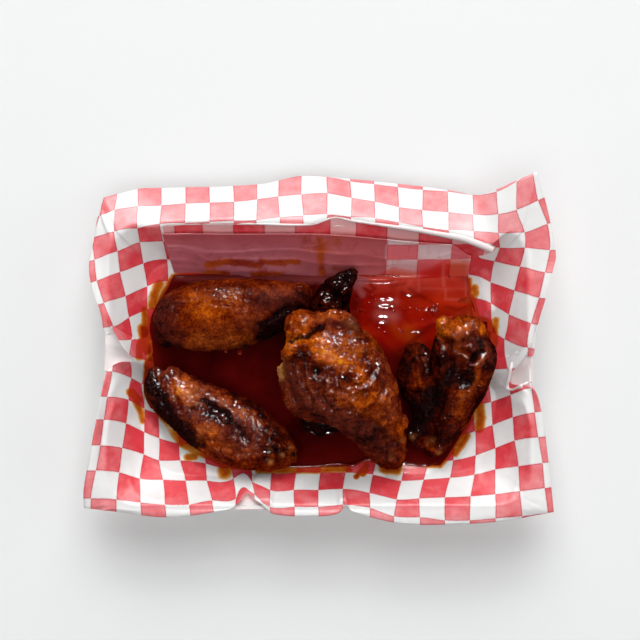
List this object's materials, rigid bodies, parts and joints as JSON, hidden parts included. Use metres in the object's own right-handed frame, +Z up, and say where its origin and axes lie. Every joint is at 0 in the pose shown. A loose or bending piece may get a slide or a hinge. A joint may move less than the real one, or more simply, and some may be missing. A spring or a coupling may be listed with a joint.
{
  "type": "serving of chicken wings in a lined tray",
  "caption": "Glazed chicken wings lying in a pool of hot sauce, in a rectangular paperboard tray lined with a loose sheet of red and white checked paper.",
  "frame": {"origin": "centre of the tray's flat underside, on the table", "axes": "+X along the tray's long side, +Y towards the side where the paper hangs over furthest, +Z up"},
  "size_m": [0.2301, 0.1743, 0.0568],
  "materials": {
    "paperboard": "plain uncoated board",
    "checked_paper": "waxed, red and white checks",
    "greasy_paper": "soaked through with fat and sauce",
    "hot_sauce": "wet and glossy",
    "glazed_meat": "fried skin under a glossy glaze"
  },
  "bodies": {
    "root": {"tray": "paperboard", "liner": "checked_paper", "rear_flap": "greasy_paper", "sauce": "hot_sauce", "flat_rear": "glazed_meat", "flat_front": "glazed_meat", "flat_under": "glazed_meat", "drumette_centre": "glazed_meat", "drumette_right": "glazed_meat"}
  },
  "joints": []
}
